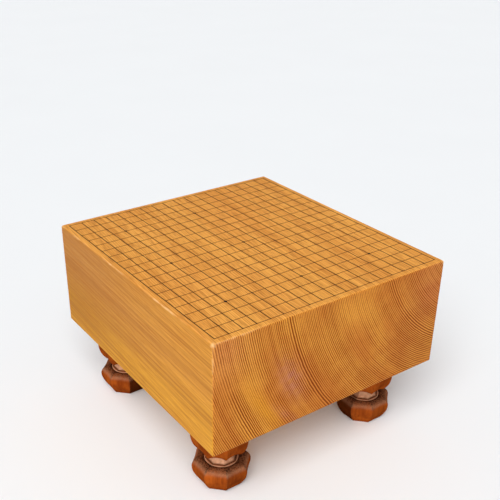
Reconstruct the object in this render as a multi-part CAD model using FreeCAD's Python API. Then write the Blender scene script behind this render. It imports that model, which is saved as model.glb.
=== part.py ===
import FreeCAD, Part
from FreeCAD import Vector
import math
import os

# Floor-standing weiqi board.  A solid timber block with nineteen by nineteen
# lacquered lines stands on four carved legs that pull out of its underside.
# Millimetres.  X runs across the grain, Y along it, Z up from the floor, and
# the origin is on the floor under the middle of the block.

# Block
block_length = 454.0
block_width = 424.0
block_thickness = 180.0
block_edge_radius = 3.0

# Hollow in the middle of the underside: a shallow square rebate, then an
# inverted pyramid that ends in a small flat
hollow_width = 140.0
rebate_depth = 7.0
pyramid_width = 112.0
pyramid_flat_width = 22.0
pyramid_depth = 36.0

# Lacquered lines and star points on the top.  A star point lies on the fourth
# line from an edge, or on a middle line
line_count = 19
line_pitch_along = 24.0
line_pitch_across = 22.4
line_width = 0.9
line_thickness = 0.2
star_diameter = 4.2
star_thickness = 0.35
star_gap = 0.05
star_line_count = 4

# Legs, placed by their axes from the faces of the block
leg_height = 121.0
leg_inset_along = 77.0
leg_inset_across = 66.0
ridge_count = 8

# Bulb of a leg.  Every radius here is taken to the ridges, and every height
# is measured from the floor
foot_radius = 33.0
bulb_radius = 46.2
belly_height = 29.0
bulb_height = 42.5
shoulder_radius = 35.0
dish_radius = 29.0
groove_radius = 24.0
groove_height = 38.0

# Lip, neck and cup of a leg.  Between the ridges the rim of the cup draws
# back by its flute and up by its arch, so that the ridges end in points
lip_radius = 26.0
lip_top_radius = 25.2
lip_height = 40.4
lip_thickness = 1.6
neck_radius = 17.0
neck_height = 50.5
rim_radius = 34.7
rim_height = 59.0
rim_flute = 1.4
rim_arch = 2.6
cup_radius = 48.0
cup_belly_height = 107.0
cup_top_radius = 46.5
cup_curve_power = 3.7

# Round tenon on top of a leg and the blind mortise that takes it
tenon_diameter = 32.0
tenon_length = 28.0
tenon_chamfer = 1.5
tenon_clearance = 0.05
mortise_end_gap = 2.0

# Flats that follow each curve of a leg's outline, and each side of the rim
side_steps = 7
shoulder_steps = 6
dip_steps = 4
cove_steps = 5
flare_steps = 5
cup_steps = 7
rim_side_steps = 4

cut_overrun = 1.0

block_top = leg_height + block_thickness
axis_x = block_width / 2 - leg_inset_across
axis_y = block_length / 2 - leg_inset_along


def square(width, height):
    """Closed square wire about the Z axis at one height."""
    half = width / 2
    corners = [
        Vector(-half, -half, height),
        Vector(half, -half, height),
        Vector(half, half, height),
        Vector(-half, half, height),
    ]
    return Part.makePolygon(corners + corners[:1])


def centred_box(width, length, thickness, base):
    """Box about the Z axis that stands on the height given as base."""
    corner = Vector(-width / 2, -length / 2, base)
    return Part.makeBox(width, length, thickness, corner)


def leg_places():
    """Node name and axis position of each leg."""
    places = []
    for row, side_y in (("front", -1), ("back", 1)):
        for side, side_x in (("left", -1), ("right", 1)):
            place = Vector(side_x * axis_x, side_y * axis_y, 0)
            places.append(("leg_" + row + "_" + side, place))
    return places


def make_block():
    """Timber block with rounded edges, four mortises and the hollow."""
    block = centred_box(block_width, block_length, block_thickness, leg_height)
    block = block.makeFillet(block_edge_radius, block.Edges)

    mortise_radius = tenon_diameter / 2 + tenon_clearance
    mortise_depth = tenon_length + mortise_end_gap
    cutters = []
    for name, place in leg_places():
        start = place + Vector(0, 0, leg_height - cut_overrun)
        cutters.append(Part.makeCylinder(mortise_radius, mortise_depth + cut_overrun, start))

    rebate = centred_box(
        hollow_width, hollow_width, rebate_depth + cut_overrun, leg_height - cut_overrun
    )
    rebate_floor = leg_height + rebate_depth
    pyramid = Part.makeLoft(
        [
            square(pyramid_width, rebate_floor),
            square(pyramid_flat_width, rebate_floor + pyramid_depth),
        ],
        True,
        True,
    )
    return block.cut(cutters + [rebate.fuse(pyramid)])


def star_places():
    """Centres of the nine star points on the top of the block."""
    middle = (line_count + 1) / 2
    numbers = (star_line_count, middle, line_count + 1 - star_line_count)
    places = []
    for column in numbers:
        for row in numbers:
            x = (column - middle) * line_pitch_across
            y = (row - middle) * line_pitch_along
            places.append(Vector(x, y, block_top))
    return places


def make_grid_lines():
    """Net of lacquer lines, one film, cut away where the star points sit."""
    windows_across = line_count - 1
    windows_along = line_count - 1
    net_width = windows_across * line_pitch_across + line_width
    net_length = windows_along * line_pitch_along + line_width
    net = centred_box(net_width, net_length, line_thickness, block_top)

    window_width = line_pitch_across - line_width
    window_length = line_pitch_along - line_width
    cut_height = line_thickness + cut_overrun + cut_overrun
    cutters = []
    for column in range(windows_across):
        for row in range(windows_along):
            x = -net_width / 2 + line_width + column * line_pitch_across
            y = -net_length / 2 + line_width + row * line_pitch_along
            corner = Vector(x, y, block_top - cut_overrun)
            cutters.append(Part.makeBox(window_width, window_length, cut_height, corner))
    for place in star_places():
        start = place - Vector(0, 0, cut_overrun)
        cutters.append(Part.makeCylinder(star_diameter / 2 + star_gap, cut_height, start))
    return net.cut(cutters)


def make_star_points():
    """Nine flat lacquer dots."""
    dots = [Part.makeCylinder(star_diameter / 2, star_thickness, place) for place in star_places()]
    return Part.makeCompound(dots)


def section(radius, height, flats=1, flute=0, arch=0):
    """Closed wire through the ridges, each side drawn in and up between them."""
    half_step = math.pi / ridge_count
    corners = []
    for side in range(ridge_count):
        facing = side * 2 * half_step
        for index in range(flats):
            across = 2 * index / flats - 1
            bow = 1 - across * across
            outward = radius * math.cos(half_step) - flute * bow
            sideways = radius * math.sin(half_step) * across
            x = outward * math.cos(facing) - sideways * math.sin(facing)
            y = outward * math.sin(facing) + sideways * math.cos(facing)
            corners.append(Vector(x, y, height + arch * bow))
    return Part.makePolygon(corners + corners[:1])


def blend(start, end, share):
    """Value a share of the way from start to end."""
    return start + (end - start) * share


def quarter(steps):
    """Quick and slow shares along a quarter of an ellipse, in even turns."""
    shares = []
    for index in range(1, steps + 1):
        turn = index / steps * math.pi / 2
        shares.append((math.sin(turn), 1 - math.cos(turn)))
    return shares


def make_bulb():
    """Bulb from the foot, over the belly and the shoulder, down to the groove."""
    wires = []
    for index in range(side_steps + 1):
        share = index / side_steps
        swell = math.sin(share * math.pi / 2)
        wires.append(section(blend(foot_radius, bulb_radius, swell), share * belly_height))
    for quick, slow in quarter(shoulder_steps):
        radius = blend(bulb_radius, shoulder_radius, slow)
        wires.append(section(radius, blend(belly_height, bulb_height, quick)))
    for quick, slow in quarter(dip_steps):
        radius = blend(shoulder_radius, dish_radius, quick)
        wires.append(section(radius, blend(bulb_height, groove_height, slow)))
    return loft(wires)


def make_lip():
    """Round lip that stands out over the groove."""
    low = lip_height - lip_thickness / 2
    high = lip_height + lip_thickness / 2
    profile = Part.makePolygon([
        Vector(0, 0, groove_height),
        Vector(groove_radius, 0, groove_height),
        Vector(lip_top_radius, 0, low),
        Vector(lip_radius, 0, lip_height),
        Vector(lip_top_radius, 0, high),
        Vector(0, 0, high),
        Vector(0, 0, groove_height),
    ])
    return Part.Face(profile).revolve(Vector(0, 0, 0), Vector(0, 0, 1), 360)


def flare_places():
    """Radius and height of each section between the neck and the rim."""
    places = []
    for quick, slow in quarter(flare_steps)[:-1]:
        radius = blend(neck_radius, rim_radius, slow)
        places.append((radius, blend(neck_height, rim_height, quick)))
    return places


def cup_places():
    """Radius and height of each section of the cup above the arches of its rim."""
    places = []
    for quick, slow in quarter(cup_steps)[1:]:
        radius = blend(cup_radius, rim_radius, (1 - slow) ** cup_curve_power)
        places.append((radius, blend(rim_height, cup_belly_height, slow)))
    return places


def make_neck():
    """Cove from the lip in to the neck, then the flare below the rim of the cup."""
    low = lip_height + lip_thickness / 2
    wires = [section(lip_top_radius, low)]
    for quick, slow in quarter(cove_steps):
        radius = blend(lip_top_radius, neck_radius, quick)
        wires.append(section(radius, blend(low, neck_height, slow)))
    for radius, height in flare_places():
        wires.append(section(radius, height))
    return loft(wires)


def make_rim():
    """Rim of the cup with the stretch next to it on either side."""
    below_radius, below_height = flare_places()[-1]
    above_radius, above_height = cup_places()[0]
    return loft([
        section(below_radius, below_height, rim_side_steps),
        section(rim_radius, rim_height, rim_side_steps, rim_flute, rim_arch),
        section(above_radius, above_height, rim_side_steps),
    ])


def make_cup():
    """Bowl-shaped cup from above its rim to the shoulder under the block."""
    wires = [section(radius, height) for radius, height in cup_places()]
    wires.append(section(cup_top_radius, leg_height))
    return loft(wires)


def loft(wires):
    """Solid through a run of sections, straight from one to the next."""
    # The loft leaves its flat sides as general surfaces, so each is made anew as
    # a true plane, and a twisted side as two
    flats = []
    for face in Part.makeLoft(wires, True, True).Faces:
        corners = [vertex.Point for vertex in face.OuterWire.OrderedVertexes]
        if face.findPlane():
            outlines = [corners]
        else:
            first, second, third, fourth = corners
            outlines = [[first, second, third], [first, third, fourth]]
        for outline in outlines:
            flats.append(Part.Face(Part.makePolygon(outline + outline[:1])))
    return Part.makeSolid(Part.makeShell(flats))


def make_leg():
    """One leg on the Z axis, carved in one piece with its tenon."""
    shaft = Part.makeCylinder(
        tenon_diameter / 2, tenon_length - tenon_chamfer, Vector(0, 0, leg_height)
    )
    tip = Part.makeCone(
        tenon_diameter / 2,
        tenon_diameter / 2 - tenon_chamfer,
        tenon_chamfer,
        Vector(0, 0, leg_height + tenon_length - tenon_chamfer),
    )
    upper = [make_lip(), make_neck(), make_rim(), make_cup(), shaft, tip]
    return make_bulb().fuse(upper).removeSplitter()


def write(name, shape):
    """Save one node and print what it measures."""
    box = shape.BoundBox
    print(
        name,
        "solids", len(shape.Solids),
        "valid", shape.isValid(),
        "volume", round(shape.Volume, 1),
        "box", [round(v, 2) for v in (box.XMin, box.XMax, box.YMin, box.YMax, box.ZMin, box.ZMax)],
    )
    shape.exportStep("parts/" + name + ".step")


os.makedirs("parts", exist_ok=True)
write("board_block", make_block())
write("grid_lines", make_grid_lines())
write("star_points", make_star_points())
leg = make_leg()
for leg_name, leg_place in leg_places():
    standing = leg.copy()
    standing.translate(leg_place)
    write(leg_name, standing)
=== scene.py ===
import math
from collections import namedtuple

import bpy
from mathutils import Matrix, Vector


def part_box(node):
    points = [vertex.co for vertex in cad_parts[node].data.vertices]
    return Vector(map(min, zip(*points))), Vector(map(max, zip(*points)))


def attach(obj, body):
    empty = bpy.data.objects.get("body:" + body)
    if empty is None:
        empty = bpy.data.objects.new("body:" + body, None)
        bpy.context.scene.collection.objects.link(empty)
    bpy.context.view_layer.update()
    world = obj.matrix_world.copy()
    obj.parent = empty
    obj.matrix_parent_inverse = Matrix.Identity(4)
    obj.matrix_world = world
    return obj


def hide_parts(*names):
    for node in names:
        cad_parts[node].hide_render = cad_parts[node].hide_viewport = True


# Floor-standing weiqi board, dressed in the frame of its solids.  Metres.
# The end-grain face at -Y is the front, +Z is up, and the floor is at zero.

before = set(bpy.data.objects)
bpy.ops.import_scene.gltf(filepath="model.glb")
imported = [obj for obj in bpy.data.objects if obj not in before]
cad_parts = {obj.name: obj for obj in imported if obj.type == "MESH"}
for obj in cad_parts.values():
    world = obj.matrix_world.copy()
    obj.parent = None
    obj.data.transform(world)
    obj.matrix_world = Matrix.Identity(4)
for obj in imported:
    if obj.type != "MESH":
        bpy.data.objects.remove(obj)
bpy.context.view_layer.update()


def colour(red, green, blue):
    """Linear colour of an sRGB triple from 0 to 255."""
    linear = []
    for level in (red, green, blue):
        share = level / 255
        if share <= 0.04045:
            linear.append(share / 12.92)
        else:
            linear.append(((share + 0.055) / 1.055) ** 2.4)
    return (linear[0], linear[1], linear[2], 1.0)


mm = 0.001
block_low, block_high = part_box("board_block")
block_length = block_high.y - block_low.y

# Camera of the photograph, fitted to the block's corners and the ruled lines
image_px = 500
focal_px = 783.9
centre_x_px = 222.7
centre_y_px = 286.1
eye = Vector((-0.670, -0.917, 0.823))
camera_azimuth = math.radians(-34.47)
camera_elevation = math.radians(27.91)
sensor_width = 36.0

# Surroundings: brightness at the horizon and overhead, and the heights of a
# direction between which the one fades to the other
horizon_light = 0.92
sky_light = 0.38
sky_low = 0.02
sky_high = 0.40
sky_tone = (0.98, 0.985, 1.0, 1.0)

# Broad soft key light, and a small softbox that gives the edges a gleam
key_toward = (-0.75, -0.70, 1.15)
key_spread = 45.0
key_strength = 2.7
key_tone = (1.0, 0.99, 0.975)
glint_place = (-1.3, -1.05, 1.3)
glint_target = (0.0, 0.0, 0.1)
glint_size = 0.35
glint_power = 2.4

# Floor
floor_reach = 12.0
floor_tone_low = (0.852, 0.874, 0.896, 1.0)
floor_tone_high = (0.872, 0.894, 0.916, 1.0)
floor_cloud_scale = 3.0
floor_roughness = 0.85
floor_gloss = 0.1

# A curve is the range of a value, and then what it becomes at the two ends of
# that range.  Without the last two it becomes 0 and 1.

# Growth rings of the block.  At the front end the pith lies beside the right
# edge and above the top, and behind it the trunk leans and bends
pith_x = 0.332
pith_z = 0.389
pith_lean_x = 0.07
pith_lean_z = 0.08
trunk_bend = 0.05
bend_stretch = (1.0, 0.5, 1.0)
bend_scale = 6.0
ring_pitch = 0.00292
ring_drift = 3.0
ring_drift_scale = 16.0

# Wobbles of the rings: how each follows the trunk, its scale and its reach
ring_wobbles = (
    ((1.0, 0.25, 1.0), 45.0, 0.0014),
    ((1.0, 0.2, 1.0), 160.0, 0.0010),
)

# Where the rings are wider, over what stretch, and how many rings are lost there
wide_ring_radii = (0.246, 0.429, 0.545)
wide_ring_spread = 0.012
wide_ring_lag = 1.3

# Darkness across a ring, which comes up slowly to its late wood and ends sharply
ring_profile = (
    (0.0, 0.45),
    (0.08, 0.0),
    (0.40, 0.05),
    (0.62, 0.75),
    (0.76, 1.0),
    (0.92, 1.0),
    (1.0, 0.45),
)

# Strength of the rings: of one by one, in patches, near the pith, and low down
least_ring_strength = 0.60
ring_strength_range = 0.45
ring_patch_stretch = (1.0, 0.3, 1.0)
ring_patch_scale = 22.0
ring_patch_curve = (0.32, 0.68, 0.55, 1.05)
ring_pith_curve = (0.34, 0.22, 0.0, 0.35)
ring_low_curve = (0.26, 0.15, 1.0, 1.40)

# Bundles of dark rings: radius, and strength low on the block and near its top
dark_ring_groups = (
    (0.250, 0.15, 0.15),
    (0.362, 0.60, 0.60),
    (0.427, 0.80, 0.80),
    (0.536, 0.90, 0.10),
)
dark_ring_width = 0.007
dark_ring_low = 0.17
dark_ring_high = 0.26

# How far a normal has to turn before a face counts as an end, a side or the top
face_turn = (0.45, 0.85)
flat_turn = 0.7

# Grain: how the fibres lean on the sides, and how fine each noise is along X, Y
# and Z, in features to the metre
fibre_lean = 0.05
fibre_scale = (420.0, 10.0, 420.0)
pore_scale = (400.0, 40.0, 400.0)
thread_scale = (230.0, 1.6, 230.0)
streak_scale = (42.0, 1.2, 42.0)
cloud_scale = (9.0, 3.0, 9.0)
patch_ring_scale = 18.0
patch_turn_scale = 3.0

# Top and sides
top_light = colour(254, 191, 90)
top_dark = colour(239, 162, 77)
top_back = colour(214, 146, 64)
top_back_start = 0.02
top_back_share = 0.22
left_back_high = colour(188, 130, 60)
left_back_low = colour(183, 128, 36)
left_back_curve = (0.25, 0.17)
left_front = colour(220, 155, 62)
right_light = colour(236, 158, 72)
right_dark = colour(218, 135, 54)

# Yellow band along the foot of the left side, higher towards the front
band_tone = colour(228, 167, 42)
band_share = 0.52
band_height = 0.015
band_rise = 0.055
band_wander = 0.03
band_fade = 0.045

# What darkens the top and the sides: the curve of the noise, its share on the
# top and on the sides, and its tone on the top and on the sides
Layer = namedtuple("Layer", "curve top_share side_share top_tone side_tone")
ring_layer = Layer(None, 0.45, 0.12, colour(166, 88, 26), colour(166, 88, 26))
thread_layer = Layer((0.46, 0.64), 0.16, 0.42, colour(178, 102, 26), colour(152, 94, 32))
streak_layer = Layer((0.35, 0.72), 0.20, 0.32, colour(196, 112, 34), colour(164, 102, 40))
fibre_layer = Layer((0.35, 0.75), 0.45, 0.65, colour(170, 98, 28), colour(170, 98, 28))
pore_layer = Layer((0.48, 0.70), 0.40, 0.15, colour(140, 74, 30), colour(140, 74, 30))

# Ruled lines, and the lacquer that has crept into the wood beside them
line_pitch_across = 22.4 * mm
line_pitch_along = 24.0 * mm
line_count = 19
line_width = 0.9 * mm
creep_along_curve = (1.20 * line_width, 0.45 * line_width, 0.0, 0.90)
creep_along_tone = colour(44, 22, 10)
creep_across_curve = (0.95 * line_width, 0.45 * line_width, 0.0, 0.45)
creep_across_tone = colour(96, 54, 22)

# Ends: early wood, late wood, pores, and the shade low at the right
end_light = colour(220, 152, 60)
end_dark = colour(199, 123, 47)
end_patch_curve = (0.32, 0.68)
end_ring_tone = colour(123, 50, 0)
end_pore_tone = colour(150, 78, 16)
end_pore_curve = (0.46, 0.72, 0.0, 0.30)
end_shade_tone = colour(150, 74, 22)
end_shade_across = (-0.05, 0.20)
end_shade_down = (0.26, 0.14, 0.0, 0.18)

# Soft marks on the ends: middle, how it leans, half width and half height
Mark = namedtuple("Mark", "x z lean half_width half_height")
stain = Mark(-0.080, 0.200, 0.35, 0.019, 0.036)
smear = Mark(-0.089, 0.142, 0.90, 0.010, 0.022)
yellow_mark = Mark(-0.126, 0.165, 0.60, 0.015, 0.045)
left_bloom = Mark(-0.190, 0.285, 0.00, 0.040, 0.045)
right_bloom = Mark(0.195, 0.270, 0.00, 0.050, 0.065)
stain_tone = colour(190, 124, 104)
smear_share = 0.6
stain_break_scale = 75.0
stain_break_curve = (0.35, 0.62)
stain_least = 0.35
stain_range = 0.45
yellow_tone = colour(216, 147, 40)
yellow_share = 0.75
yellow_hush = 0.6
left_bloom_tone = colour(224, 150, 90)
left_bloom_share = 0.45
right_bloom_tone = colour(190, 112, 70)
right_bloom_share = 0.50

# Pale wear and a painted highlight on the edges: mostly on the upper ones and
# towards the left, which face the light
wear_and_highlight_tone = colour(232, 186, 128)
wear_and_highlight_curve = (-0.0004, -0.0026)
fray_stretch = (1.0, 0.4, 1.0)
fray_scale = 120.0
fray_reach = 0.006
rub_scale = 14.0
rub_curve = (0.46, 0.62, 0.10, 0.70)
rub_and_light_left_curve = (-0.12, block_low.x + 0.004, 0.12, 1.0)
wear_and_highlight_upper_curve = (block_low.z + 0.02, block_high.z)
wear_and_highlight_corner_curve = (0.007, 0.001, 0.0, 0.8)
wear_and_highlight_foot_curve = (block_low.z, block_low.z + 0.08)

# Surface of the block
block_gloss = 0.06
block_roughness = 0.40
block_cloud_roughness = 0.14
block_fibre_roughness = 0.10
block_fibre_relief = 0.5
block_ring_relief = 0.6
block_relief_depth = 0.12 * mm
block_relief_strength = 0.6

# Lacquer: near black, and thin and brown on the lines across the grain
lacquer_dark = colour(12, 6, 4)
lacquer_worn = colour(60, 34, 16)
lacquer_worn_share = 0.15
lacquer_thin_dark = colour(92, 58, 26)
lacquer_thin_worn = colour(126, 80, 36)
lacquer_thin_share = 0.5
lacquer_wear_scale = 160.0
lacquer_wear_curve = (0.45, 0.75)
lacquer_across_curve = (0.8 * line_width, 2.5 * line_width)
lacquer_gloss = 0.08
lacquer_roughness = 0.45
lacquer_wear_roughness = 0.3
lacquer_relief_scale = 900.0
lacquer_relief_depth = 0.05 * mm
lacquer_relief_strength = 0.5

# Timber of the legs
leg_light = colour(176, 85, 26)
leg_dark = colour(134, 59, 18)
leg_cloud_scale = 38.0
leg_cloud_curve = (0.3, 0.7)
leg_fibre_scale = (260.0, 260.0, 14.0)
leg_fibre_curve = (0.40, 0.75, 0.0, 0.5)
leg_fibre_tone = colour(100, 41, 14)
# Painted shade on the sides of a leg that face the board or away from the light
leg_shade_tone = colour(58, 24, 8)
leg_shade_share = 0.88
mottle_scale = 160.0
speckle_scale = 560.0
speckle_curve = (0.35, 0.65)
# Colours of the smoke and of the painted shade on the legs: dark brown with a lighter speckle
smoke_and_shade_mottle = 0.5
smoke_and_shade_curve = (0.05, 0.95)
smoke_and_shade_dark = colour(56, 29, 17)
smoke_and_shade_light = colour(120, 73, 46)
# Pale tint of painted sheen, highlight and paler wood, darker on the sides in painted shade
tint_mottle_curve = (0.25, 0.65, 0.6, 1.0)
tint_lit = colour(252, 196, 156)
tint_shaded = colour(160, 98, 66)
tint_shade_share = 0.5
leg_gloss = 0.0
leg_roughness = 0.24
leg_cloud_roughness = 0.14
smoke_and_shade_roughness = 0.28
leg_relief_depth = 0.1 * mm
leg_relief_strength = 0.5

# Outline of a leg.  Radii are taken to the ridges, heights from the floor
ridge_count = 8
foot_radius = 33.0 * mm
foot_round = 0.8 * mm
foot_edge_in = 0.25 * foot_round
foot_edge_up = 0.35 * foot_round
bulb_radius = 46.2 * mm
belly_height = 29.0 * mm
bulb_height = 42.5 * mm
shoulder_radius = 35.0 * mm
dish_radius = 29.0 * mm
groove_radius = 24.0 * mm
groove_height = 38.0 * mm
lip_radius = 26.0 * mm
lip_height = 40.4 * mm
lip_nose = 0.8 * mm
cove_step = 0.16 * mm
neck_radius = 17.0 * mm
neck_height = 50.5 * mm
rim_radius = 34.7 * mm
rim_height = 59.0 * mm
rim_arch = 2.6 * mm
rim_arch_fade = 6
cup_radius = 48.0 * mm
cup_belly_height = 107.0 * mm
cup_curve_power = 3.7
cup_step_power = 1.6
cup_top_radius = 46.5 * mm
leg_height = block_low.z
tenon_radius = 16.0 * mm
tenon_length = 28.0 * mm
tenon_chamfer = 1.5 * mm
leg_axis_x = 146.0 * mm
leg_axis_y = 150.0 * mm

# Steps along each part of the outline
belly_steps = 16
shoulder_steps = 16
dip_steps = 8
lip_steps = 8
cove_steps = 12
flare_steps = 10
cup_steps = 20

# Hollow of a leg's sides between two ridges, how sharp the ridges are, and how
# much closer together the points of a side are at the ridges
foot_flute = 0.3 * mm
belly_flute = 0.9 * mm
shoulder_flute = 1.8 * mm
neck_flute = 0.3 * mm
rim_flute = 1.4 * mm
cup_flute = 1.2 * mm
ridge_sharpness = 140
points_per_side = 14
ridge_crowding = 0.75

# Smoke and painted shade on a leg: painted shade dark at the foot and fading up
# the bulb, smoke coming back between two heights on the shoulder, smoke and
# painted shade dark in the dish and the groove, and smoke less on the cup
foot_shade = 0.6
foot_edge_shade = 0.5
belly_shade = 0.4
belly_shade_fade = 6
smoke_low = 32.0 * mm
smoke_high = 41.5 * mm
crest_smoke = 0.75
cove_smoke = 0.8
neck_smoke = 0.3
flare_smoke = 0.6
cup_smoke = 0.3
cup_smoke_fade = 12
# Smoke and painted shade are darker on a side in painted shade, lighter on a lit one
lit_smoke = 0.9
shaded_smoke = 1.4

# Painted shade along the ridges
belly_ridge_shade = 0.25
shoulder_ridge_shade = 0.6
neck_ridge_shade = 0.3
flare_ridge_shade = 0.2

# Pale tint: a painted sheen on the crest of the bulb, a painted highlight on the
# lip, paler wood with a painted reflection on the neck and the flare, and paler
# wood on the tenon
crest_painted_sheen = 0.15
sheen_height = 37.5 * mm
sheen_spread = 3.0 * mm
lip_painted_highlight = 0.55
neck_pale_and_reflection = 0.85
flare_pale_and_reflection = 0.6
tenon_pale_tint = 0.25
pale_start = 0.20
pale_rise = 0.35

# Painted shade on a leg: a side is painted dark where it faces the middle of the
# board, in the shade under it, and less so where it faces away from the light.
# By chance a side is also darker, which changes from side to side and with the
# leg's place.  Part of the painted shade goes on up the cup
under_board_turn = 0.65
away_shade = 0.36
away_angle = math.pi / 3
own_shade = 0.2
own_by_side = 2.4
own_by_place = (9.0, 5.0)
cup_shade = 0.55


class Shader:
    """A material's node tree, with short calls for the nodes that repeat."""

    def __init__(self, name):
        self.material = bpy.data.materials.new(name)
        self.material.use_nodes = True
        self.tree = self.material.node_tree
        self.tree.nodes.clear()
        self.surface = self.add("ShaderNodeBsdfPrincipled")
        output = self.add("ShaderNodeOutputMaterial")
        self.tree.links.new(self.surface.outputs["BSDF"], output.inputs["Surface"])

    def add(self, kind, **settings):
        """New node with the given settings."""
        node = self.tree.nodes.new(kind)
        for key, value in settings.items():
            setattr(node, key, value)
        return node

    def feed(self, socket, value):
        """Link a socket, or set a plain value."""
        if isinstance(value, bpy.types.NodeSocket):
            self.tree.links.new(value, socket)
        else:
            socket.default_value = value

    def math(self, operation, *values):
        """Arithmetic on one, two or three values."""
        node = self.add("ShaderNodeMath", operation=operation)
        for socket, value in zip(node.inputs, values):
            self.feed(socket, value)
        return node.outputs[0]

    def plus(self, first, second):
        return self.math("ADD", first, second)

    def minus(self, first, second):
        return self.math("SUBTRACT", first, second)

    def times(self, first, second):
        return self.math("MULTIPLY", first, second)

    def over(self, first, second):
        return self.math("DIVIDE", first, second)

    def times_plus(self, value, factor, rest):
        """A value times a factor, plus the rest."""
        return self.math("MULTIPLY_ADD", value, factor, rest)

    def larger(self, first, second):
        return self.math("MAXIMUM", first, second)

    def smaller(self, first, second):
        return self.math("MINIMUM", first, second)

    def size(self, value):
        """A value without its sign."""
        return self.math("ABSOLUTE", value)

    def fade(self, squared):
        """One where a squared distance is nought, and fading away from there."""
        return self.math("EXPONENT", self.times(squared, -1.0))

    def smooth(self, value, low, high, start=0.0, end=1.0):
        """Smooth step of a value along a curve."""
        node = self.add("ShaderNodeMapRange", interpolation_type="SMOOTHSTEP")
        for socket, given in zip(node.inputs, (value, low, high, start, end)):
            self.feed(socket, given)
        return node.outputs[0]

    def mix(self, share, first, second):
        """Mix two colours, whose sockets come last on a mix node."""
        node = self.add("ShaderNodeMix", data_type="RGBA")
        self.feed(node.inputs[0], share)
        self.feed(node.inputs[6], first)
        self.feed(node.inputs[7], second)
        return node.outputs[2]

    def ramp(self, value, stops):
        """Piecewise curve of a value through (place, grey) stops."""
        node = self.add("ShaderNodeValToRGB")
        marks = node.color_ramp.elements
        while len(marks) < len(stops):
            marks.new(1.0)
        for mark, (place, grey) in zip(marks, stops):
            mark.position = place
            mark.color = (grey, grey, grey, 1.0)
        self.feed(node.inputs[0], value)
        return node.outputs[0]

    def coordinates(self, kind):
        """Object coordinates or the normal."""
        return self.add("ShaderNodeTexCoord").outputs[kind]

    def attribute(self, name):
        """Number that the mesh carries at its points."""
        return self.add("ShaderNodeAttribute", attribute_name=name).outputs["Fac"]

    def split(self, vector):
        """The three parts of a vector."""
        node = self.add("ShaderNodeSeparateXYZ")
        self.feed(node.inputs[0], vector)
        return node.outputs[0], node.outputs[1], node.outputs[2]

    def join(self, x, y, z):
        """Vector of three parts."""
        node = self.add("ShaderNodeCombineXYZ")
        for socket, value in zip(node.inputs, (x, y, z)):
            self.feed(socket, value)
        return node.outputs[0]

    def scaled(self, vector, factors):
        """Vector with each part times its own factor."""
        node = self.add("ShaderNodeVectorMath", operation="MULTIPLY")
        self.feed(node.inputs[0], vector)
        self.feed(node.inputs[1], factors)
        return node.outputs[0]

    def noise(self, vector, scale=1.0, detail=2.0, roughness=0.5):
        """Noise in three dimensions."""
        node = self.add("ShaderNodeTexNoise")
        self.feed(node.inputs["Vector"], vector)
        self.feed(node.inputs["Scale"], scale)
        self.feed(node.inputs["Detail"], detail)
        self.feed(node.inputs["Roughness"], roughness)
        return node.outputs["Fac"]

    def noise_line(self, value, scale, detail=1.0):
        """Noise along one number."""
        node = self.add("ShaderNodeTexNoise", noise_dimensions="1D")
        self.feed(node.inputs["W"], value)
        self.feed(node.inputs["Scale"], scale)
        self.feed(node.inputs["Detail"], detail)
        return node.outputs["Fac"]

    def chance(self, value):
        """Random number of a whole number."""
        node = self.add("ShaderNodeTexWhiteNoise", noise_dimensions="1D")
        self.feed(node.inputs["W"], value)
        return node.outputs["Value"]

    def off_line(self, value, pitch):
        """Distance of a coordinate from the nearest of the ruled lines."""
        step = self.math("FRACT", self.plus(self.over(value, pitch), 0.5))
        return self.times(self.size(self.minus(step, 0.5)), pitch)

    def bump(self, height, depth, strength):
        """Normal of a relief."""
        node = self.add("ShaderNodeBump")
        self.feed(node.inputs["Strength"], strength)
        self.feed(node.inputs["Distance"], depth)
        self.feed(node.inputs["Height"], height)
        return node.outputs["Normal"]

    def finish(self, tone, roughness, gloss):
        """Set the surface.  The gloss is the same all over it."""
        self.feed(self.surface.inputs["Base Color"], tone)
        self.feed(self.surface.inputs["Roughness"], roughness)
        self.surface.inputs["Specular IOR Level"].default_value = gloss

    def emboss(self, height, depth, strength):
        """Give the surface a relief."""
        self.feed(self.surface.inputs["Normal"], self.bump(height, depth, strength))


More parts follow.
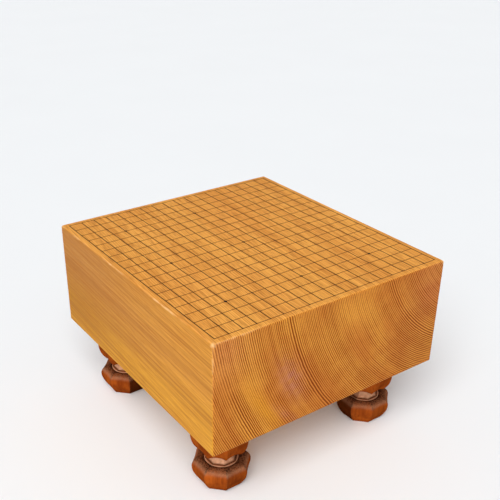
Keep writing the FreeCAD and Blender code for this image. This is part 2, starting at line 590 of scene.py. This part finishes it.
class BlockTimber(Shader):
    """Honey-coloured softwood: rings round the pith, strong on the end grain."""

    def __init__(self):
        super().__init__("board_timber")
        self.at = self.coordinates("Object")
        self.x, self.y, self.z = self.split(self.at)
        self.find_pith()
        self.find_faces()
        self.rings = self.growth_rings()
        self.draw_grain()
        long_tone = self.creep(self.long_faces())
        tone = self.mix(self.end, long_tone, self.end_faces())
        # Pale wear and painted highlight on the edges and corners
        tone = self.mix(self.wear_and_highlight(), tone, wear_and_highlight_tone)

        rough = self.times_plus(self.cloud, block_cloud_roughness, block_roughness)
        rough = self.times_plus(self.fibre, block_fibre_roughness, rough)
        self.finish(tone, rough, block_gloss)
        grooves = self.times(self.rings, -block_ring_relief)
        relief = self.times_plus(self.fibre, block_fibre_relief, grooves)
        self.emboss(relief, block_relief_depth, block_relief_strength)

    def find_pith(self):
        """Place seen from the pith, and the distance from it."""
        self.behind = self.minus(self.y, block_low.y)
        lean_x = self.times(self.behind, pith_lean_x)
        lean_z = self.times(self.behind, pith_lean_z)
        from_x = self.minus(self.minus(self.x, pith_x), lean_x)
        from_z = self.minus(self.minus(self.z, pith_z), lean_z)
        self.trunk = self.join(from_x, self.y, from_z)
        self.turn = self.math("ARCTAN2", from_z, from_x)

        squared = self.times_plus(from_x, from_x, self.times(from_z, from_z))
        slow = self.noise(self.scaled(self.trunk, bend_stretch), bend_scale, 1.0)
        growing = self.times(self.behind, trunk_bend / block_length)
        bend = self.times(self.minus(slow, 0.5), growing)
        radius = self.plus(self.math("SQRT", squared), bend)
        for stretch, scale, reach in ring_wobbles:
            wobble = self.noise(self.scaled(self.trunk, stretch), scale)
            radius = self.times_plus(self.minus(wobble, 0.5), reach, radius)
        self.radius = radius

    def find_faces(self):
        """Which way a face looks: along the grain, sideways or up."""
        across, along, up = self.split(self.coordinates("Normal"))
        self.end = self.smooth(self.size(along), *face_turn)
        self.side = self.smooth(self.size(across), *face_turn)
        self.left = self.smooth(across, -face_turn[0], -face_turn[1])
        self.off_side = self.math("LESS_THAN", self.size(across), flat_turn)
        self.off_top = self.math("LESS_THAN", self.size(up), flat_turn)
        self.on_top = self.math("GREATER_THAN", up, flat_turn)

    def growth_rings(self):
        """How dark the late wood of the rings is."""
        drift = self.noise_line(self.radius, ring_drift_scale)
        number = self.times_plus(drift, ring_drift, self.over(self.radius, ring_pitch))
        for ring in wide_ring_radii:
            low, high = ring - wide_ring_spread, ring + wide_ring_spread
            lag = self.smooth(self.radius, low, high, 0.0, wide_ring_lag)
            number = self.minus(number, lag)
        late = self.ramp(self.math("FRACT", number), ring_profile)
        strength = self.times_plus(
            self.chance(self.math("FLOOR", number)), ring_strength_range, least_ring_strength
        )

        patches = self.noise(self.scaled(self.trunk, ring_patch_stretch), ring_patch_scale)
        groups = self.smooth(patches, *ring_patch_curve)
        groups = self.plus(groups, self.smooth(self.radius, *ring_pith_curve))
        for ring, low_strength, high_strength in dark_ring_groups:
            off = self.over(self.minus(self.radius, ring), dark_ring_width)
            peak = self.fade(self.times(off, off))
            height = self.smooth(
                self.z, dark_ring_low, dark_ring_high, low_strength, high_strength
            )
            groups = self.times_plus(peak, height, groups)
        groups = self.times(groups, self.smooth(self.z, *ring_low_curve))
        return self.smaller(self.times(late, self.times(strength, groups)), 1.0)

    def draw_grain(self):
        """Fibres and clouds.  Fibres follow the trunk, but keep to a long face."""
        lean_x = self.times(self.times(self.behind, pith_lean_x), self.off_side)
        lean_z = self.times(self.times(self.behind, fibre_lean), self.off_top)
        grain = self.join(self.minus(self.x, lean_x), self.y, self.minus(self.z, lean_z))
        self.fibre = self.noise(self.scaled(grain, fibre_scale), detail=4.0, roughness=0.6)
        self.pore = self.noise(self.scaled(grain, pore_scale))
        self.thread = self.noise(self.scaled(grain, thread_scale))
        self.streak = self.noise(self.scaled(grain, streak_scale), detail=3.0)
        self.cloud = self.noise(self.scaled(self.trunk, cloud_scale))
        around = self.join(
            self.times(self.radius, patch_ring_scale),
            self.times(self.turn, patch_turn_scale),
            self.y,
        )
        self.patch = self.noise(around, detail=3.0)

    def long_faces(self):
        """Top and sides: broad soft tones under fine fibre."""
        top = self.mix(self.cloud, top_light, top_dark)
        backward = self.smooth(self.y, top_back_start, block_high.y, 0.0, top_back_share)
        top = self.mix(backward, top, top_back)

        forward = self.smooth(self.y, block_high.y, block_low.y)
        back = self.mix(self.smooth(self.z, *left_back_curve), left_back_high, left_back_low)
        left = self.mix(forward, back, left_front)
        band_edge = self.times_plus(forward, band_rise, band_height)
        above = self.minus(self.minus(self.z, block_low.z), band_edge)
        above = self.times_plus(self.cloud, band_wander, above)
        band = self.times(self.smooth(above, band_fade, 0.0), band_share)
        left = self.mix(band, left, band_tone)
        right = self.mix(self.cloud, right_light, right_dark)
        tone = self.mix(self.side, top, self.mix(self.left, right, left))

        for value, layer in (
            (self.rings, ring_layer),
            (self.thread, thread_layer),
            (self.streak, streak_layer),
            (self.fibre, fibre_layer),
            (self.pore, pore_layer),
        ):
            extra = layer.side_share - layer.top_share
            share = self.times_plus(self.side, extra, layer.top_share)
            if layer.curve is None:
                share = self.times(value, share)
            else:
                share = self.smooth(value, *layer.curve, 0.0, share)
            tone = self.mix(share, tone, self.mix(self.side, layer.top_tone, layer.side_tone))
        return tone

    def creep(self, tone):
        """Lacquer in the wood right beside the ruled lines."""
        reach = (line_count - 1) / 2
        for off, pitch, run, run_pitch, curve, lacquer in (
            (
                self.y, line_pitch_along, self.x, line_pitch_across,
                creep_across_curve, creep_across_tone,
            ),
            (
                self.x, line_pitch_across, self.y, line_pitch_along,
                creep_along_curve, creep_along_tone,
            ),
        ):
            within = self.math("LESS_THAN", self.size(run), reach * run_pitch + line_width)
            beside = self.smooth(self.off_line(off, pitch), *curve)
            tone = self.mix(self.times(beside, self.times(within, self.on_top)), tone, lacquer)
        return tone

    def mark(self, shape):
        """Soft mark on an end, one in its middle and fading outwards."""
        leaning = self.times_plus(self.z, shape.lean, self.x)
        middle = shape.x + shape.lean * shape.z
        off_x = self.over(self.minus(leaning, middle), shape.half_width)
        off_z = self.over(self.minus(self.z, shape.z), shape.half_height)
        return self.fade(self.times_plus(off_x, off_x, self.times(off_z, off_z)))

    def end_faces(self):
        """Ends: yellow early wood between brown late wood, with soft marks."""
        tone = self.mix(self.smooth(self.patch, *end_patch_curve), end_light, end_dark)
        near_front = self.smooth(self.y, 0.0, block_low.y)

        broken = self.noise(
            self.scaled(self.trunk, ring_patch_stretch), stain_break_scale, 3.0
        )
        broken = self.smooth(broken, *stain_break_curve)
        grey = self.larger(self.mark(stain), self.times(self.mark(smear), smear_share))
        strength = self.times_plus(broken, stain_range, stain_least)
        tone = self.mix(self.times(grey, self.times(near_front, strength)), tone, stain_tone)

        yellow = self.times(self.mark(yellow_mark), near_front)
        tone = self.mix(self.times(yellow, yellow_share), tone, yellow_tone)
        bloom = self.times(self.mark(left_bloom), left_bloom_share)
        tone = self.mix(bloom, tone, left_bloom_tone)
        bloom = self.times(self.mark(right_bloom), right_bloom_share)
        tone = self.mix(bloom, tone, right_bloom_tone)

        tone = self.mix(self.smooth(self.pore, *end_pore_curve), tone, end_pore_tone)
        shade = self.times(
            self.smooth(self.x, *end_shade_across), self.smooth(self.z, *end_shade_down)
        )
        tone = self.mix(shade, tone, end_shade_tone)
        hush = self.times_plus(yellow, -yellow_hush, 1.0)
        return self.mix(self.times(self.rings, hush), tone, end_ring_tone)

    def wear_and_highlight(self):
        """How far the finish has rubbed off on the edges and the corners, with a painted highlight
        there that is strongest on the upper edges and towards the left.
        """
        gaps = []
        for value, low, high in zip((self.x, self.y, self.z), block_low, block_high):
            off_middle = self.size(self.minus(value, (low + high) / 2))
            gaps.append(self.minus((high - low) / 2, off_middle))
        first, second, third = gaps
        pair = self.smaller(self.larger(first, second), self.larger(second, third))
        edge = self.smaller(pair, self.larger(first, third))
        fray = self.noise(self.scaled(self.at, fray_stretch), fray_scale, 5.0)
        worn_and_lit = self.smooth(self.times_plus(fray, -fray_reach, edge), *wear_and_highlight_curve)
        rubbed_and_lit = self.smooth(self.noise(self.at, rub_scale), *rub_curve)
        rubbed_and_lit = self.times(rubbed_and_lit, self.smooth(self.x, *rub_and_light_left_curve))
        upper = self.smooth(self.z, *wear_and_highlight_upper_curve)
        worn_and_lit = self.times(worn_and_lit, self.times(rubbed_and_lit, upper))
        corner = self.larger(self.larger(first, second), third)
        worn_and_lit = self.larger(worn_and_lit, self.smooth(corner, *wear_and_highlight_corner_curve))
        return self.times(worn_and_lit, self.smooth(self.z, *wear_and_highlight_foot_curve))


def raised_lacquer(name, ruled):
    """Raised lacquer, which is thin and brown on the lines across the grain."""
    s = Shader(name)
    at = s.coordinates("Object")
    thin = s.smooth(s.noise(at, lacquer_wear_scale, 3.0), *lacquer_wear_curve)
    tone = s.mix(s.times(thin, lacquer_worn_share), lacquer_dark, lacquer_worn)
    if ruled:
        x = s.split(at)[0]
        across = s.smooth(s.off_line(x, line_pitch_across), *lacquer_across_curve)
        thin_tone = s.mix(
            s.times(thin, lacquer_thin_share), lacquer_thin_dark, lacquer_thin_worn
        )
        tone = s.mix(across, tone, thin_tone)
    rough = s.times_plus(thin, lacquer_wear_roughness, lacquer_roughness)
    s.finish(tone, rough, lacquer_gloss)
    relief = s.noise(at, lacquer_relief_scale)
    s.emboss(relief, lacquer_relief_depth, lacquer_relief_strength)
    return s.material


def leg_timber():
    """Polished orange-brown timber, smoked dark round the neck, with painted shade on the foot, in
    the dish, along the ridges and on the sides that face the board, and a painted sheen and
    highlight on the crest, the lip and the neck.
    """
    s = Shader("leg_timber")
    at = s.coordinates("Object")
    facet_tone_and_shade = s.attribute("facet_tone_and_shade")
    fibre = s.noise(s.scaled(at, leg_fibre_scale), detail=4.0, roughness=0.6)
    cloud = s.noise(at, leg_cloud_scale, 3.0)
    mottle = s.noise(at, mottle_scale, 3.0)
    speckle = s.smooth(s.noise(at, speckle_scale), *speckle_curve)

    tone = s.mix(s.smooth(cloud, *leg_cloud_curve), leg_light, leg_dark)
    tone = s.mix(s.smooth(fibre, *leg_fibre_curve), tone, leg_fibre_tone)
    # Painted shade on the sides that face the board or away from the light, and darkness by chance
    tone = s.mix(s.times(facet_tone_and_shade, leg_shade_share), tone, leg_shade_tone)
    # Smoke, and painted shade on the foot, along the ridges, in the dish and on the sides in shade
    smoke = s.times_plus(s.minus(mottle, 0.5), smoke_and_shade_mottle, s.attribute("smoke"))
    smoke = s.smooth(smoke, *smoke_and_shade_curve)
    tone = s.mix(smoke, tone, s.mix(speckle, smoke_and_shade_dark, smoke_and_shade_light))
    # Pale tint: painted sheen and highlights, and paler wood with a painted reflection on the neck,
    # darker on the sides in painted shade
    bloom = s.times(s.attribute("bloom"), s.smooth(mottle, *tint_mottle_curve))
    pale = s.mix(s.times(facet_tone_and_shade, tint_shade_share), tint_lit, tint_shaded)
    tone = s.mix(bloom, tone, pale)

    rough = s.times_plus(cloud, leg_cloud_roughness, leg_roughness)
    rough = s.times_plus(smoke, smoke_and_shade_roughness, rough)
    s.finish(tone, rough, leg_gloss)
    s.emboss(fibre, leg_relief_depth, leg_relief_strength)
    return s.material


def floor_finish():
    """Plain pale floor with a faint unevenness."""
    s = Shader("pale_floor")
    cloud = s.noise(s.coordinates("Object"), floor_cloud_scale)
    s.finish(s.mix(cloud, floor_tone_low, floor_tone_high), floor_roughness, floor_gloss)
    return s.material


def blend(start, end, share):
    """Value a share of the way from start to end."""
    return start + (end - start) * share


def quarter(steps):
    """Quick and slow shares along a quarter of an ellipse."""
    turns = [index / steps * math.pi / 2 for index in range(1, steps + 1)]
    return [(math.sin(turn), 1 - math.cos(turn)) for turn in turns]


# One ring of points round a leg.  Its smoke is the smoke and the
# painted shade on it, its bloom the pale tint of painted sheen, highlight
# and paler wood, its seam the painted shade that the ridges have more of,
# its shade the share that it takes of the painted shade of each side, a crease is
# a sharp edge, and a turned ring is a plain circle.
LegRing = namedtuple(
    "LegRing",
    "radius flute height arch smoke bloom seam shade crease turned",
    defaults=(0.0, 0.0, 0.0, 0.0, 1.0, False, False),
)


def bulb_rings():
    """Rings from the foot, over the belly and the shoulder, down to the groove."""
    edge_radius = foot_radius - foot_edge_in
    # Painted shade at the foot and low on the belly, fading up the bulb
    rings = [
        LegRing(foot_radius - foot_round, foot_flute, 0.0, smoke=foot_shade, crease=True),
        LegRing(edge_radius, foot_flute, foot_edge_up, smoke=foot_edge_shade),
    ]
    for index in range(1, belly_steps + 1):
        share = index / belly_steps
        swell = math.sin(share * math.pi / 2)
        rings.append(LegRing(
            blend(foot_radius, bulb_radius, swell),
            blend(foot_flute, belly_flute, swell),
            share * belly_height,
            smoke=belly_shade * (1 - share) ** belly_shade_fade,
            seam=belly_ridge_shade,
        ))
    for quick, slow in quarter(shoulder_steps):
        height = blend(belly_height, bulb_height, quick)
        rings.append(LegRing(
            blend(bulb_radius, shoulder_radius, slow),
            blend(belly_flute, shoulder_flute, slow),
            height,
            smoke=crest_smoke * (height - smoke_low) / (smoke_high - smoke_low),
            bloom=crest_painted_sheen * math.exp(-((height - sheen_height) / sheen_spread) ** 2),
            seam=shoulder_ridge_shade * quick,
        ))
    # Smoke and painted shade, darkest in the dish and the groove under the lip
    for quick, slow in quarter(dip_steps):
        rings.append(LegRing(
            blend(shoulder_radius, dish_radius, quick),
            blend(shoulder_flute, neck_flute, quick),
            blend(bulb_height, groove_height, slow),
            smoke=blend(crest_smoke, 1.0, quick),
            seam=shoulder_ridge_shade,
            crease=slow == 1.0,
        ))
    rings.append(LegRing(groove_radius, 0.0, groove_height, smoke=1.0, crease=True, turned=True))
    return rings


def neck_rings():
    """Rings over the round lip, in to the neck and out to the rim of the cup."""
    lip_middle = lip_radius - lip_nose
    rings = []
    for index in range(lip_steps + 1):
        turn = (index / lip_steps - 0.5) * math.pi
        rings.append(LegRing(
            lip_middle + lip_nose * math.cos(turn),
            0.0,
            lip_height + lip_nose * math.sin(turn),
            bloom=lip_painted_highlight,
            crease=index == 0,
            turned=True,
        ))
    cove_radius = lip_middle - cove_step
    low = lip_height + lip_nose
    rings.append(LegRing(cove_radius, neck_flute, low, smoke=cove_smoke, crease=True))
    for quick, slow in quarter(cove_steps):
        pale = min(1.0, max(0.0, (quick - pale_start) / pale_rise))
        rings.append(LegRing(
            blend(cove_radius, neck_radius, quick),
            neck_flute,
            blend(low, neck_height, slow),
            smoke=blend(cove_smoke, neck_smoke, pale),
            bloom=neck_pale_and_reflection * pale,
            seam=neck_ridge_shade,
        ))
    for quick, slow in quarter(flare_steps):
        rings.append(LegRing(
            blend(neck_radius, rim_radius, slow),
            blend(neck_flute, rim_flute, slow),
            blend(neck_height, rim_height, quick),
            arch=rim_arch * slow,
            smoke=flare_smoke,
            bloom=flare_pale_and_reflection * (1 - slow),
            seam=flare_ridge_shade,
            crease=slow == 1.0,
        ))
    return rings


def cup_rings():
    """Rings of the cup above its rim, and of the tenon on top of it."""
    rings = []
    for index in range(1, cup_steps + 1):
        share = (index / cup_steps) ** cup_step_power
        rings.append(LegRing(
            blend(cup_radius, rim_radius, (1 - share) ** cup_curve_power),
            blend(rim_flute, cup_flute, share),
            blend(rim_height, cup_belly_height, share),
            arch=rim_arch * (1 - share) ** rim_arch_fade,
            smoke=cup_smoke * (1 - share) ** cup_smoke_fade,
            shade=cup_shade,
        ))
    rings.append(LegRing(cup_top_radius, cup_flute, leg_height, shade=cup_shade, crease=True))
    for radius, rise in (
        (tenon_radius, 0.0),
        (tenon_radius, tenon_length - tenon_chamfer),
        (tenon_radius - tenon_chamfer, tenon_length),
    ):
        rings.append(LegRing(
            radius, 0.0, leg_height + rise,
            bloom=tenon_pale_tint, shade=0.0, crease=True, turned=True,
        ))
    return rings


def side_shares():
    """Places across one side, from ridge to ridge, closer together at the ridges."""
    shares = []
    for index in range(points_per_side):
        even = index / points_per_side
        nearer = math.sin(even * 2 * math.pi) / (2 * math.pi)
        shares.append(even - nearer * ridge_crowding)
    return shares


def ring_points(ring):
    """Points of a ring: hollow sides between softened ridges, or a circle."""
    # A side is softened by those on its left and right
    half = math.pi / ridge_count
    points = []
    for side in range(ridge_count):
        for share in side_shares():
            local = (2 * share - 1) * half
            total = 0.0
            for other in range(-1, 2):
                total += max(0.0, math.cos(local - 2 * half * other)) ** ridge_sharpness
            flat = ring.radius * math.cos(half) / total ** (1 / ridge_sharpness)
            across = math.tan(local) / math.tan(half)
            bow = 1 - across * across
            reach = ring.radius if ring.turned else flat - ring.flute * bow
            angle = side * 2 * half + local
            height = ring.height + ring.arch * bow
            points.append((reach * math.cos(angle), reach * math.sin(angle), height))
    return points


def side_shade_and_tone(centre):
    """How dark each side of a leg is in painted shade and by chance, for a leg at its place under
    the board.
    """
    inward = math.atan2(-centre.y, -centre.x)
    tones = []
    for side in range(ridge_count):
        facing = side * 2 * math.pi / ridge_count
        under_board_shade = min(1.0, max(0.0, math.cos(facing - inward) / under_board_turn))
        wave = own_by_side * side + own_by_place[0] * centre.x + own_by_place[1] * centre.y
        own = 0.5 + 0.5 * math.sin(wave)
        away = max(0.0, math.cos(facing + away_angle))
        tones.append(blend(own_shade * own + away_shade * away ** 2, 1.0, under_board_shade))
    return tones


def closed_faces(levels, count):
    """Faces of a stack of rings, closed at both ends."""
    faces = [tuple(reversed(range(count)))]
    for level in range(levels - 1):
        low = level * count
        for index in range(count):
            after = (index + 1) % count
            faces.append((low + index, low + after, low + count + after, low + count + index))
    last = (levels - 1) * count
    faces.append(tuple(range(last, last + count)))
    return faces


def make_leg(name, centre):
    """One carved leg with its tenon, as a closed mesh of rings."""
    tones = side_shade_and_tone(centre)
    rings = bulb_rings() + neck_rings() + cup_rings()
    count = ridge_count * points_per_side
    points, smoke_and_shade_values, tint_shares, facets = [], [], [], []
    for ring in rings:
        points.extend(ring_points(ring))
        for index in range(count):
            side, place = divmod(index, points_per_side)
            # Ridges carry more painted shade, and the painted shade of each side darkens its smoke
            # and is passed to the mesh
            on_ridge = place in (0, 1, points_per_side - 1)
            smoke = ring.smoke + ring.seam if on_ridge else ring.smoke
            smoke_and_shade_values.append(smoke * blend(lit_smoke, shaded_smoke, tones[side]))
            tint_shares.append(ring.bloom)
            facets.append(tones[side] * ring.shade)

    mesh = bpy.data.meshes.new(name)
    placed = [Vector(point) + centre for point in points]
    mesh.from_pydata(placed, [], closed_faces(len(rings), count))
    for label, values in (("smoke", smoke_and_shade_values), ("bloom", tint_shares), ("facet_tone_and_shade", facets)):
        layer = mesh.attributes.new(label, "FLOAT", "POINT")
        layer.data.foreach_set("value", values)
    mesh.polygons.foreach_set("use_smooth", [True] * len(mesh.polygons))
    for edge in mesh.edges:
        first, second = (vertex // count for vertex in edge.vertices)
        if first == second and rings[first].crease:
            edge.use_edge_sharp = True
    mesh.update()
    return place_object(name, mesh)


def place_object(name, data):
    """New object in the scene."""
    placed = bpy.data.objects.new(name, data)
    bpy.context.scene.collection.objects.link(placed)
    return placed


def dress(node, material):
    """Give a node that stays in view its finish."""
    node_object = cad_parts[node]
    node_object.data.materials.clear()
    node_object.data.materials.append(material)


def aim(direction):
    """Rotation of a lamp that shines along a direction."""
    return direction.to_track_quat("-Z", "Y").to_euler()


def make_lights():
    """Broad key light, even over the whole floor, and a small softbox."""
    data = bpy.data.lights.new("key", "SUN")
    data.angle = math.radians(key_spread)
    data.energy = key_strength
    data.color = key_tone
    key = place_object("key", data)
    key.rotation_euler = aim(-Vector(key_toward))

    data = bpy.data.lights.new("glint", "AREA")
    data.shape = "SQUARE"
    data.size = glint_size
    data.energy = glint_power
    glint = place_object("glint", data)
    glint.location = glint_place
    glint.rotation_euler = aim(Vector(glint_target) - Vector(glint_place))


def make_camera():
    """Camera that sees the board as the photograph does."""
    back = Vector((
        math.sin(camera_azimuth) * math.cos(camera_elevation),
        -math.cos(camera_azimuth) * math.cos(camera_elevation),
        math.sin(camera_elevation),
    ))
    right = Vector((0, 0, 1)).cross(back).normalized()
    up = back.cross(right)
    data = bpy.data.cameras.new("photo_camera")
    data.sensor_width = sensor_width
    data.lens = focal_px / image_px * sensor_width
    data.shift_x = (image_px / 2 - centre_x_px) / image_px
    data.shift_y = (centre_y_px - image_px / 2) / image_px
    camera = place_object("photo_camera", data)
    turned = Matrix((right, up, back)).transposed().to_4x4()
    camera.matrix_world = Matrix.Translation(eye) @ turned
    bpy.context.scene.camera = camera


def make_floor():
    """Pale floor under the board."""
    mesh = bpy.data.meshes.new("floor")
    corners = [
        (-floor_reach, -floor_reach, 0.0),
        (floor_reach, -floor_reach, 0.0),
        (floor_reach, floor_reach, 0.0),
        (-floor_reach, floor_reach, 0.0),
    ]
    mesh.from_pydata(corners, [], [(0, 1, 2, 3)])
    mesh.materials.append(floor_finish())
    floor = place_object("floor", mesh)


def make_world():
    """Soft light from all round, as bright as the floor where they meet."""
    world = bpy.data.worlds.new("studio")
    world.use_nodes = True
    tree = world.node_tree
    direction = tree.nodes.new("ShaderNodeTexCoord")
    parts = tree.nodes.new("ShaderNodeSeparateXYZ")
    fade = tree.nodes.new("ShaderNodeMapRange")
    fade.interpolation_type = "SMOOTHSTEP"
    curve = (sky_low, sky_high, horizon_light, sky_light)
    for socket, value in zip(list(fade.inputs)[1:5], curve):
        socket.default_value = value
    background = tree.nodes["Background"]
    background.inputs[0].default_value = sky_tone
    tree.links.new(direction.outputs["Generated"], parts.inputs[0])
    tree.links.new(parts.outputs[2], fade.inputs[0])
    tree.links.new(fade.outputs[0], background.inputs[1])
    bpy.context.scene.world = world


dress("board_block", BlockTimber().material)
dress("grid_lines", raised_lacquer("line_lacquer", True))
dress("star_points", raised_lacquer("star_lacquer", False))
leg_finish = leg_timber()
for row, side_y in (("front", -1), ("back", 1)):
    for side, side_x in (("left", -1), ("right", 1)):
        node = "leg_" + row + "_" + side
        carved = make_leg("carved_" + node, Vector((side_x * leg_axis_x, side_y * leg_axis_y, 0.0)))
        carved.data.materials.append(leg_finish)
        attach(carved, node)
        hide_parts(node)

make_floor()
make_world()
make_camera()
make_lights()

bpy.context.scene.view_settings.view_transform = "Standard"
